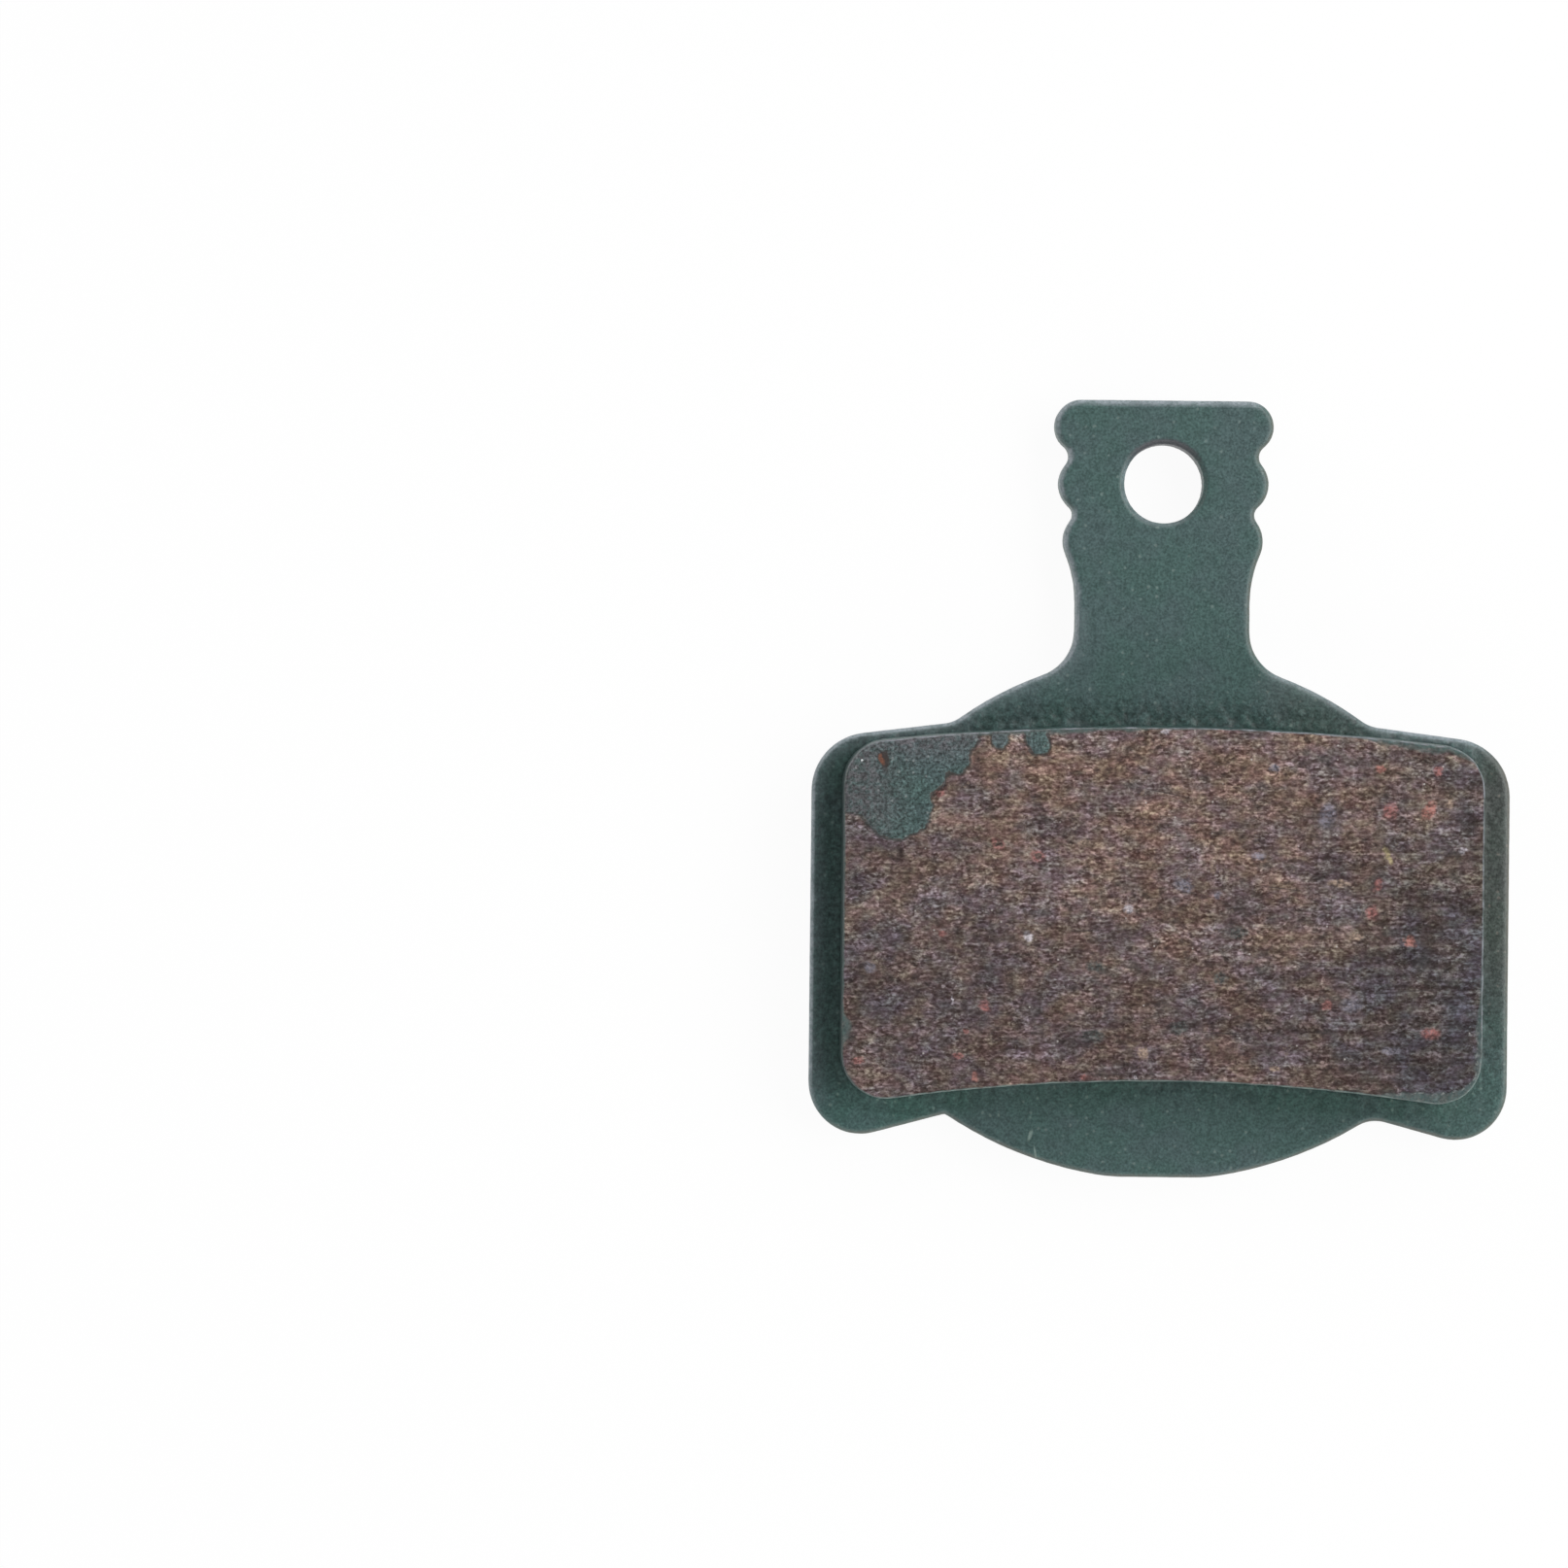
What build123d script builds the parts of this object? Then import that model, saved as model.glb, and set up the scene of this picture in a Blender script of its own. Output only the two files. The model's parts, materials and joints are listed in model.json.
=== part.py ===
from build123d import *

import math
import os

# Bicycle disc brake pad: a stamped and painted steel backing plate, with a moulded friction block keyed on
# to it. The pad lies on the back of its plate, friction face up. The origin is on the back face, on the axis
# of the caliper's piston, and +Y points to the tab with the retaining pin's hole. Sizes are in millimetres.

# Backing plate: overall sizes. Blanking rolls the front edge over, and the burrs of the back edge are broken.
plate_thickness = 1.8
plate_width = 33.5
front_edge_radius = 0.3
back_edge_break = 0.2

# Ears: the two ends of the plate that bear on the caliper. Heights are those of the sharp corners.
ear_top = 8.6
ear_bottom = -11.1
ear_top_radius = 2.8
ear_bottom_radius = 2.5

# Lobes: the bowed edges above and below the piston. Each notch is where a lobe meets an ear.
upper_lobe_radius = 16.5
upper_lobe_crown = 12.8
upper_notch_half_spacing = 9.95
upper_notch_radius = 1.6
lower_lobe_radius = 18.5
lower_lobe_crown = -12.4
lower_lobe_trim = 0.13
lower_flat_radius = 8.0
lower_notch_half_spacing = 10.2
left_lower_notch_radius = 0.15
right_lower_notch_radius = 1.6

# Tab: a straight neck, two pairs of round lugs and a wider head, with a hole for the retaining pin. The upper
# lugs are level with the hole, and the head and the lower lugs lie one pitch above and below them.
neck_half_width = 4.18
neck_root_radius = 2.3
neck_hollow_radius = 6.0
head_half_width = 5.25
head_radius = 1.25
pin_height = 21.0
scallop_pitch = 2.75
pin_hole_diameter = 3.8
pin_hole_edge_break = 0.2
upper_lug_half_width = 5.03
upper_lug_radius = 1.45
upper_hollow_radius = 0.6
lower_lug_half_width = 4.78
lower_lug_radius = 1.6
lower_hollow_radius = 0.5

# Keys: four dimples punched into the back, each of which stands out as a stud on the front.
key_spacing_x = 16.7
key_spacing_y = 7.8
dimple_diameter = 5.0
dimple_floor_diameter = 3.8
dimple_depth = 0.55
dimple_rim_radius = 0.2
stud_diameter = 4.8
stud_height = 0.5
stud_edge_break = 0.12

# Friction block: sizes of its worn face. The mould's draft makes it wider where it sits on the plate.
block_height = 2.4
block_side_margin = 1.55
block_top = 9.3
block_bottom = -7.53
block_top_arc_radius = 117.0
block_bottom_arc_radius = 89.0
block_corner_radius = 2.1
block_draft_deg = 3.0
bond_line = 0.05


def point_towards(centre, radius, target):
    """Point of a circle that faces the target."""
    return centre + (target - centre).normalized() * radius


def arc_about(centre, radius, start, end):
    """Arc of less than half a turn about the centre."""
    return ThreePointArc(start, point_towards(centre, radius, (start + end) / 2), end)


def hollow_centre(upper, upper_radius, lower, lower_radius, radius):
    """Centre of the hollow of that radius that touches two round lugs from the outside, to their right."""
    step = lower - upper
    upper_reach = upper_radius + radius
    lower_reach = lower_radius + radius
    along = (upper_reach**2 - lower_reach**2 + step.length**2) / (2 * step.length)
    down = step.normalized()
    outward = Vector(-down.Y, down.X)
    return upper + down * along + outward * math.sqrt(upper_reach**2 - along**2)


def upper_lobe(x):
    """Point of the upper lobe's edge at that distance from the middle."""
    return Vector(x, upper_lobe_crown - upper_lobe_radius + math.sqrt(upper_lobe_radius**2 - x**2))


def lower_lobe(x):
    """Point of the lower lobe's edge at that distance from the middle."""
    return Vector(x, lower_lobe_crown + lower_lobe_radius - math.sqrt(lower_lobe_radius**2 - x**2))


def tab_edge():
    """Right-hand edge of the tab, from the middle of its top to the foot of its neck."""
    head = Vector(head_half_width - head_radius, pin_height + scallop_pitch)
    upper_lug = Vector(upper_lug_half_width - upper_lug_radius, pin_height)
    lower_lug = Vector(lower_lug_half_width - lower_lug_radius, pin_height - scallop_pitch)
    upper_hollow = hollow_centre(head, head_radius, upper_lug, upper_lug_radius, upper_hollow_radius)
    lower_hollow = hollow_centre(
        upper_lug, upper_lug_radius, lower_lug, lower_lug_radius, lower_hollow_radius
    )
    hollow_x = neck_half_width + neck_hollow_radius
    hollow_drop = math.sqrt((lower_lug_radius + neck_hollow_radius) ** 2 - (hollow_x - lower_lug.X) ** 2)
    neck_hollow = Vector(hollow_x, lower_lug.Y - hollow_drop)

    head_top = head + Vector(0, head_radius)
    head_foot = point_towards(head, head_radius, upper_hollow)
    upper_lug_top = point_towards(upper_lug, upper_lug_radius, upper_hollow)
    upper_lug_foot = point_towards(upper_lug, upper_lug_radius, lower_hollow)
    lower_lug_top = point_towards(lower_lug, lower_lug_radius, lower_hollow)
    lower_lug_foot = point_towards(lower_lug, lower_lug_radius, neck_hollow)
    neck_top = Vector(neck_half_width, neck_hollow.Y)
    return [
        Line((0, head_top.Y), head_top),
        arc_about(head, head_radius, head_top, head_foot),
        arc_about(upper_hollow, upper_hollow_radius, head_foot, upper_lug_top),
        arc_about(upper_lug, upper_lug_radius, upper_lug_top, upper_lug_foot),
        arc_about(lower_hollow, lower_hollow_radius, upper_lug_foot, lower_lug_top),
        arc_about(lower_lug, lower_lug_radius, lower_lug_top, lower_lug_foot),
        arc_about(neck_hollow, neck_hollow_radius, lower_lug_foot, neck_top),
        Line(neck_top, upper_lobe(neck_half_width)),
    ]


def lower_flat_end():
    """Right-hand end of the flat that cuts off the lower lobe."""
    return lower_lobe(math.sqrt(lower_lobe_radius**2 - (lower_lobe_radius - lower_lobe_trim) ** 2))


def body_edge():
    """Right-hand edge of the body, with sharp corners, from the neck's foot to the middle of the bottom."""
    half_width = plate_width / 2
    neck_foot = upper_lobe(neck_half_width)
    upper_notch = upper_lobe(upper_notch_half_spacing)
    lower_notch = lower_lobe(lower_notch_half_spacing)
    flat_end = lower_flat_end()
    return [
        arc_about(Vector(0, upper_lobe_crown - upper_lobe_radius), upper_lobe_radius, neck_foot, upper_notch),
        Line(upper_notch, (half_width, ear_top)),
        Line((half_width, ear_top), (half_width, ear_bottom)),
        Line((half_width, ear_bottom), lower_notch),
        arc_about(Vector(0, lower_lobe_crown + lower_lobe_radius), lower_lobe_radius, lower_notch, flat_end),
        Line(flat_end, (0, flat_end.Y)),
    ]


def rounded(face, radius, *corners):
    """The face with the vertices at these corners rounded."""
    return fillet([face.vertices().sort_by_distance(corner)[0] for corner in corners], radius)


def both_sides(corner):
    """A corner and its mirror image across the pad's middle."""
    return Vector(corner.X, corner.Y), Vector(-corner.X, corner.Y)


def plate_outline():
    """Outline of the blanked plate. One lower notch is crisp and the other is rounded."""
    right_half = tab_edge() + body_edge()
    left_half = [mirror(edge, about=Plane.YZ) for edge in right_half]
    outline = make_face(right_half + left_half)
    right_notch, left_notch = both_sides(lower_lobe(lower_notch_half_spacing))
    outline = rounded(outline, neck_root_radius, *both_sides(upper_lobe(neck_half_width)))
    outline = rounded(outline, upper_notch_radius, *both_sides(upper_lobe(upper_notch_half_spacing)))
    outline = rounded(outline, ear_top_radius, *both_sides(Vector(plate_width / 2, ear_top)))
    outline = rounded(outline, ear_bottom_radius, *both_sides(Vector(plate_width / 2, ear_bottom)))
    outline = rounded(outline, lower_flat_radius, *both_sides(lower_flat_end()))
    outline = rounded(outline, right_lower_notch_radius, right_notch)
    return rounded(outline, left_lower_notch_radius, left_notch)


def key_places(height):
    """Places of the four keys at that height."""
    return Pos(Z=height) * GridLocations(key_spacing_x, key_spacing_y, 2, 2)


def dimple():
    """Tool for one dimple: a flat-ended punch with a tapered side."""
    rim = dimple_diameter / 2
    floor = dimple_floor_diameter / 2
    return Cone(rim, floor, dimple_depth, align=(Align.CENTER, Align.CENTER, Align.MIN))


def stud(growth=0.0):
    """One stud, or the socket around it if it is grown by the bond line."""
    height = stud_height + growth
    body = Cylinder(stud_diameter / 2 + growth, height, align=(Align.CENTER, Align.CENTER, Align.MIN))
    return chamfer(body.edges().sort_by(Axis.Z)[-1], stud_edge_break)


def front_of(plate):
    """Front face of the plate."""
    return plate.faces().sort_by(Axis.Z)[-1]


def back_of(plate):
    """Back face of the plate."""
    return plate.faces().sort_by(Axis.Z)[0]


def backing_plate():
    """Blanked plate with a pin hole, broken edges, and keys pushed through from the back."""
    pin_hole = Pos(Y=pin_height) * Circle(pin_hole_diameter / 2)
    plate = extrude(plate_outline() - pin_hole, plate_thickness)
    plate = chamfer(front_of(plate).inner_wires().edges(), pin_hole_edge_break)
    plate = chamfer(back_of(plate).inner_wires().edges(), pin_hole_edge_break)
    plate = fillet(front_of(plate).outer_wire().edges(), front_edge_radius)
    plate = chamfer(back_of(plate).outer_wire().edges(), back_edge_break)
    plate -= [place * dimple() for place in key_places(0)]
    dimple_mouths = back_of(plate).inner_wires().sort_by(Axis.Y)[:-1]
    plate = fillet(dimple_mouths.edges(), dimple_rim_radius)
    return plate + [place * stud() for place in key_places(plate_thickness)]


def friction_block():
    """Moulded block, ground flat on its face, with a socket around each stud of the plate."""
    half_width = plate_width / 2 - block_side_margin
    top_drop = block_top_arc_radius - math.sqrt(block_top_arc_radius**2 - half_width**2)
    bottom_drop = block_bottom_arc_radius - math.sqrt(block_bottom_arc_radius**2 - half_width**2)
    top_corner = Vector(half_width, block_top - top_drop)
    bottom_corner = Vector(half_width, block_bottom - bottom_drop)
    top_right, top_left = both_sides(top_corner)
    bottom_right, bottom_left = both_sides(bottom_corner)
    face = make_face([
        ThreePointArc(top_left, (0, block_top), top_right),
        Line(top_right, bottom_right),
        ThreePointArc(bottom_right, (0, block_bottom), bottom_left),
        Line(bottom_left, top_left),
    ])
    face = rounded(face, block_corner_radius, top_right, top_left, bottom_right, bottom_left)
    block = extrude(Pos(Z=plate_thickness + block_height) * face, -block_height, taper=-block_draft_deg)
    block -= [place * stud(bond_line) for place in key_places(plate_thickness)]
    return block


os.makedirs("parts", exist_ok=True)
for make_part in (backing_plate, friction_block):
    export_step(make_part(), f"parts/{make_part.__name__}.step")
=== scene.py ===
import json
import math

import bpy
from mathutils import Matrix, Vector
from mathutils.bvhtree import BVHTree


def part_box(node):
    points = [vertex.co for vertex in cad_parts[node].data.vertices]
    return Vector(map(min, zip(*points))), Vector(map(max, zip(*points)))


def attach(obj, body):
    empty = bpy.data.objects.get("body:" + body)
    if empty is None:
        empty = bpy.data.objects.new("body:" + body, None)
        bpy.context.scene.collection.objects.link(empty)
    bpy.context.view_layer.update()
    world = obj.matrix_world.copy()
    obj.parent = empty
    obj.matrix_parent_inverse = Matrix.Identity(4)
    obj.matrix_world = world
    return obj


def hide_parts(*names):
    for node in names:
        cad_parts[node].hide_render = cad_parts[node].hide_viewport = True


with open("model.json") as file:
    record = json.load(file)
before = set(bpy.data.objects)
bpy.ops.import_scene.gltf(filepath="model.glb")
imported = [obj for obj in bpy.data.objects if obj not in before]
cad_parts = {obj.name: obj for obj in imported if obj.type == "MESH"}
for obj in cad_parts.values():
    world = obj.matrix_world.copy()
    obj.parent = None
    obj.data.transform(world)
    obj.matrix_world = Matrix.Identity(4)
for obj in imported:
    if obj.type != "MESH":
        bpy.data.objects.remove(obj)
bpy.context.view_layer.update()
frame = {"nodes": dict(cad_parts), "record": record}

# Backing plate. It is blanked from steel sheet, with four dimples punched into its back and a hole for the
# retaining pin in its tab. The pad is powder-coated in a satin blue-green: the coat gathers in a bead round
# the friction block's foot. Its edges, dimples and pin hole carry painted highlight and shade, and painted
# shade lies round the block's foot.
mm = 0.001
plate_node = frame["nodes"]["backing_plate"]
block_node = frame["nodes"]["friction_block"]
block_low, block_high = (Vector(corner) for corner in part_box("friction_block"))
seat = block_low.z
hair = 0.01 * mm
plate_grain = 0.135 * mm


def merge(distance):
    """Joins the vertices of the active piece that lie on each other."""
    bpy.ops.object.mode_set(mode="EDIT")
    bpy.ops.mesh.select_all(action="SELECT")
    bpy.ops.mesh.remove_doubles(threshold=distance)
    bpy.ops.object.mode_set(mode="OBJECT")


def skinned_copy(node, name, grain):
    """A CAD node's own shape as one closed skin of small, even faces."""
    loose_gap = 0.002 * mm
    bpy.ops.object.select_all(action="DESELECT")
    piece = bpy.data.objects.new(name, node.data.copy())
    bpy.context.scene.collection.objects.link(piece)
    piece.data.materials.clear()
    piece.select_set(True)
    bpy.context.view_layer.objects.active = piece
    merge(loose_gap)
    skin = piece.modifiers.new("skin", "REMESH")
    skin.mode = "VOXEL"
    skin.voxel_size = grain
    skin.use_smooth_shade = True
    bpy.ops.object.modifier_apply(modifier="skin")
    hug = piece.modifiers.new("hug", "SHRINKWRAP")
    hug.target = node
    hug.wrap_method = "NEAREST_SURFACEPOINT"
    hug.wrap_mode = "ON_SURFACE"
    bpy.ops.object.modifier_apply(modifier="hug")
    merge(hair)
    return piece


def thin_out(piece, hidden, share):
    """Fewer faces where the piece is hidden."""
    bpy.ops.object.mode_set(mode="EDIT")
    bpy.ops.mesh.select_all(action="DESELECT")
    bpy.ops.mesh.select_mode(type="FACE")
    bpy.ops.object.mode_set(mode="OBJECT")
    for face in piece.data.polygons:
        face.select = hidden(face)
    bpy.ops.object.mode_set(mode="EDIT")
    bpy.ops.mesh.decimate(ratio=share)
    bpy.ops.object.mode_set(mode="OBJECT")


def surface_of(node, chosen=lambda face: True):
    """The node's triangles, or the chosen ones, to measure distances from."""
    triangles = [face.vertices[:] for face in node.data.polygons if chosen(face)]
    return BVHTree.FromPolygons([vertex.co for vertex in node.data.vertices], triangles)


above_sockets = seat + 0.7 * mm
just_above_seat = seat + 0.1 * mm
block_surface = surface_of(block_node)
outer_walls = surface_of(
    block_node, lambda face: abs(face.normal.z) < 0.5 and face.center.z > above_sockets)


def covered(point):
    """Whether the friction block stands over a point of the plate."""
    below = Vector((point.x, point.y, 0))
    return block_surface.ray_cast(below, Vector((0, 0, 1)))[0] is not None


def from_walls(point):
    """Distance of a point from the block's outer walls, taken from no lower than their foot."""
    level = max(point.z, just_above_seat)
    return outer_walls.find_nearest(Vector((point.x, point.y, level)))[3]


def well_covered(face):
    """Whether a face of the plate's front is under the block, away from the block's edge."""
    edge_margin = 0.6 * mm
    at_seat = face.center.z > seat - hair
    return at_seat and covered(face.center) and from_walls(face.center) > edge_margin


plate = skinned_copy(plate_node, "pad_backing_plate", plate_grain)
thin_out(plate, well_covered, share=0.04)


def smooth(value, low, high):
    """0 below low, 1 above high, with a smooth step between."""
    share = min(max((value - low) / (high - low), 0.0), 1.0)
    return share * share * (3 - 2 * share)


def weigh(piece, name, weight):
    """Vertex group with the weight that is given for each vertex."""
    least = 0.001
    group = piece.vertex_groups.new(name=name)
    for vertex in piece.data.vertices:
        amount = weight(vertex)
        if amount > least:
            group.add([vertex.index], amount, "REPLACE")


# coat gathered round the block's foot: a bead in the corner, and lumps that fade away from it
bead_height = 0.05 * mm
bead_width = 0.22 * mm
lump_height = 0.12 * mm
lump_size = 0.34 * mm
lumps_full = 0.2 * mm
lumps_gone = 2.0 * mm
upper_foot = block_high.y - 1.2 * mm
front_level = seat - 0.05 * mm
far_away = 1.0
from_foot = []
for vertex in plate.data.vertices:
    if vertex.co.z < front_level:
        from_foot.append(far_away)
    elif covered(vertex.co):
        from_foot.append(from_walls(vertex.co))
    else:
        from_foot.append(block_surface.find_nearest(vertex.co)[3])


def lumpiness(vertex):
    """Share of the coat's lumps at a vertex: they are largest above the block."""
    largest = 1.0 if vertex.co.y > upper_foot else 0.5
    return largest * (1 - smooth(from_foot[vertex.index], lumps_full, lumps_gone))


weigh(plate, "bead", lambda vertex: math.exp(-(from_foot[vertex.index] / bead_width) ** 2))
weigh(plate, "foot", lumpiness)
weigh(plate, "coat", lambda vertex: 1.0)


def keep(piece, name, values):
    """A number for each vertex, for the material to read."""
    piece.data.attributes.new(name, "FLOAT", "POINT").data.foreach_set("value", values)


# painted highlight on edges that face up and left, painted shade on edges that face down and right, and both
# in the pin hole
pin_hole = next(mount for mount in frame["record"]["mounts"] if mount["name"] == "retaining_pin_hole")
pin_axis = Vector(pin_hole["pos_m"][:2])
bore_reach = (pin_hole["dims"]["r_mm"] + 0.5) * mm
tab_foot = 15 * mm
upper_left = Vector((-0.69, 0.72))
upper_right = Vector((0.69, 0.72))
wall_falloff = 0.75
back_share = 0.5
bore_share = 0.5
haze_share = 0.22

# millimetres inwards from the edge where the painted highlight and shade end to be full, and where they are
# gone
pale_full = 0.11
pale_gone = 0.22
pale_gone_on_tab = 0.24
tab_top_extra = 0.12
haze_span = (0.2, 0.9)
brown_shade_span = (0.04, 0.20)
bore_highlight_span = (0.08, 0.24)
bore_dark = (0.18, 0.30)
plate_surface = surface_of(plate_node)
plate_walls = surface_of(plate_node, lambda face: abs(face.normal.z) < 0.3 and face.center.z < seat)
# each vertex's share of painted edge highlight, painted edge shade and painted shade in the pin hole
edge_highlight, edge_shade, pin_hole_shade = [], [], []
for vertex in plate.data.vertices:
    wall_point, facing = plate_walls.find_nearest(vertex.co)[:2]
    inward = (vertex.co.xy - wall_point.xy).length / mm
    upright = 1 - abs(plate_surface.find_nearest(vertex.co)[1].z)
    edge_mark_share = 1 - wall_falloff * smooth(upright, 0.75, 0.98)
    if vertex.co.z <= 0.5 * seat:
        edge_mark_share *= back_share
    if (vertex.co.xy - pin_axis).length < bore_reach:
        highlight_reach = bore_share * (1 - smooth(inward, *bore_highlight_span))
        edge_highlight.append(edge_mark_share * highlight_reach * smooth(facing.xy.dot(upper_right), 0.0, 0.5))
        edge_shade.append(0.0)
        pin_hole_shade.append((1 - smooth(inward, *bore_dark)) * smooth(-facing.y, 0.3, 0.9))
    else:
        on_tab = vertex.co.y > tab_foot
        tab_gone = pale_gone_on_tab + tab_top_extra * smooth(facing.y, 0.7, 0.95)
        haze = 0.0 if on_tab else haze_share * (1 - smooth(inward, *haze_span))
        highlight_reach = max(1 - smooth(inward, pale_full, tab_gone if on_tab else pale_gone), haze)
        to_upper_left = facing.xy.dot(upper_left)
        edge_highlight.append(edge_mark_share * highlight_reach * smooth(to_upper_left, 0.0, 0.6))
        edge_shade.append(edge_mark_share * (1 - smooth(inward, *brown_shade_span)) * smooth(-to_upper_left, 0.0, 0.4))
        pin_hole_shade.append(0.0)
keep(plate, "edge_highlight", edge_highlight)
keep(plate, "edge_shade", edge_shade)
keep(plate, "pin_hole_shade", pin_hole_shade)


def clouds(name, size, contrast=1.0, intensity=1.0, depth=1):
    """Cloudy relief of that size."""
    texture = bpy.data.textures.new(name, "CLOUDS")
    texture.noise_scale = size
    texture.noise_depth = depth
    texture.contrast = contrast
    texture.intensity = intensity
    texture.use_clamp = True
    return texture


def push(piece, group, height, direction="Z", texture=None, middle=0.0, stretch=None):
    """Moves a vertex group by a height, evenly or by the relief of a texture."""
    shift = piece.modifiers.new(group, "DISPLACE")
    shift.vertex_group = group
    shift.direction = direction
    shift.strength = height
    shift.mid_level = middle
    shift.texture = texture
    shift.texture_coords = "LOCAL"
    if stretch:
        guide = bpy.data.objects.new("guide", None)
        bpy.context.scene.collection.objects.link(guide)
        guide.scale = stretch
        bpy.context.view_layer.update()
        shift.texture_coords = "OBJECT"
        shift.texture_coords_object = guide
    bpy.ops.object.modifier_apply(modifier=group)
    if stretch:
        bpy.data.objects.remove(guide)


# relief of the coat: its peel goes inwards, and the bead and the lumps lie on the plate's front
peel_depth = 0.014 * mm
peel_size = 0.45 * mm
push(plate, "coat", peel_depth, "NORMAL", clouds("peel", peel_size), middle=1.0)
push(plate, "bead", bead_height)
before_lumps = [vertex.co.z for vertex in plate.data.vertices]
push(plate, "foot", lump_height, "Z", clouds("lumps", lump_size, contrast=1.7, depth=2), middle=0.66)
keep(plate, "gathered", [(v.co.z - before) / mm for v, before in zip(plate.data.vertices, before_lumps)])
keep(plate, "from_foot", [distance / mm for distance in from_foot])


def new_material(name):
    """An empty node material and its tree."""
    material = bpy.data.materials.new(name)
    material.use_nodes = True
    material.node_tree.nodes.clear()
    return material, material.node_tree


def put(tree, kind, settings=None, **inputs):
    """A node of that kind, with its settings, and with its inputs set or linked by name or by number."""
    node = tree.nodes.new(kind)
    for key, value in (settings or {}).items():
        setattr(node, key, value)
    for key, value in inputs.items():
        socket = node.inputs[int(key[1:])] if key[1:].isdigit() else node.inputs[key.replace("_", " ")]
        if isinstance(value, bpy.types.NodeSocket):
            tree.links.new(value, socket)
        else:
            socket.default_value = value
    return node


def reckon(tree, operation, *values):
    """Result of a math node on those values."""
    inputs = {f"i{n}": value for n, value in enumerate(values)}
    return put(tree, "ShaderNodeMath", {"operation": operation}, **inputs).outputs[0]


def times(tree, *values):
    """Product of those values."""
    product = values[0]
    for value in values[1:]:
        product = reckon(tree, "MULTIPLY", product, value)
    return product


def plus(tree, *values):
    """Sum of those values."""
    total = values[0]
    for value in values[1:]:
        total = reckon(tree, "ADD", total, value)
    return total


def ease(tree, value, low, high, to_low=0.0, to_high=1.0):
    """The value brought smoothly from one range to another."""
    settings = {"interpolation_type": "SMOOTHSTEP"}
    ranges = {"i1": low, "i2": high, "i3": to_low, "i4": to_high}
    return put(tree, "ShaderNodeMapRange", settings, i0=value, **ranges).outputs[0]


def near(tree, value, target, far, close):
    """0 where the value is farther from the target than far, rising to 1 where it is within close of it."""
    gap = reckon(tree, "ABSOLUTE", reckon(tree, "SUBTRACT", value, target))
    return ease(tree, gap, far, close)


def blend(tree, share, first, second, kind="MIX"):
    """The second colour over the first, by that share."""
    settings = {"data_type": "RGBA", "blend_type": kind}
    return put(tree, "ShaderNodeMix", settings, i0=share, i6=first, i7=second).outputs[2]


def between(tree, value, low, high, first, second):
    """Colour that goes from the first to the second as the value goes from low to high."""
    return blend(tree, ease(tree, value, low, high), first, second)


def tint(tree, share, colour, filter_colour):
    """The colour seen through a filter, by that share."""
    return blend(tree, share, colour, filter_colour, "MULTIPLY")


def shaded(tree, share, colour, value, low, high, dark, light):
    """The colour made darker or lighter as the value goes from low to high, by that share."""
    lightness = ease(tree, value, low, high, dark, light)
    grey = put(tree, "ShaderNodeCombineColor", i0=lightness, i1=lightness, i2=lightness).outputs[0]
    return tint(tree, share, colour, grey)


def moved(tree, operation, place, other):
    """The place after a vector operation."""
    return put(tree, "ShaderNodeVectorMath", {"operation": operation}, i0=place, i1=other).outputs[0]


def apart(tree, place, centre):
    """Distance of the place from a centre."""
    settings = {"operation": "DISTANCE"}
    return put(tree, "ShaderNodeVectorMath", settings, i0=place, i1=centre).outputs["Value"]


def noise(tree, place, scale, detail=2.0, roughness=0.55, stretch=None, output=0):
    """Cloudy noise, with that many lumps in a millimetre."""
    if stretch:
        place = moved(tree, "MULTIPLY", place, stretch)
    inputs = {"Scale": scale, "Detail": detail, "Roughness": roughness}
    return put(tree, "ShaderNodeTexNoise", i0=place, **inputs).outputs[output]


def roughened(tree, place, scale, reach):
    """The place moved about by noise, with that many lumps in a millimetre."""
    swirl = noise(tree, place, scale, detail=3.0, roughness=0.6, output=1)
    wobble = moved(tree, "SUBTRACT", swirl, (0.5, 0.5, 0.5))
    return moved(tree, "ADD", place, moved(tree, "MULTIPLY", wobble, (reach, reach, 0)))


def specks(tree, place, scale, share, low, high):
    """Dots in some of the cells of a cell pattern, with that many cells in a millimetre."""
    cells = put(tree, "ShaderNodeTexVoronoi", i0=place, Scale=scale).outputs
    draw = put(tree, "ShaderNodeSeparateColor", i0=cells["Color"]).outputs[0]
    return times(tree, ease(tree, cells["Distance"], high, low), reckon(tree, "LESS_THAN", draw, share))


def spot(tree, place, x, y, length, width, turn=0.0, soft=0.35):
    """Mask of one spot of that length and width, turned by degrees."""
    settings = {"vector_type": "TEXTURE"}
    half_sizes = (length / 2, width / 2, 1)
    inputs = {"Location": (x, y, 0), "Rotation": (0, 0, math.radians(turn)), "Scale": half_sizes}
    local = put(tree, "ShaderNodeMapping", settings, i0=place, **inputs).outputs[0]
    reach = put(tree, "ShaderNodeVectorMath", {"operation": "LENGTH"}, i0=local).outputs["Value"]
    return ease(tree, reach, 1 + soft, 1 - soft)


def in_millimetres(tree):
    """Place on the piece, in millimetres, as all places and sizes in the materials are."""
    in_metres = put(tree, "ShaderNodeTexCoord").outputs["Object"]
    return moved(tree, "MULTIPLY", in_metres, (1000, 1000, 1000))


def from_above(tree, place):
    """The place as seen straight from above, with its height left out."""
    return moved(tree, "MULTIPLY", place, (1, 1, 0))


def read(tree, name):
    """A number that is kept for each vertex."""
    return put(tree, "ShaderNodeAttribute", {"attribute_name": name}).outputs["Fac"]


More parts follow.
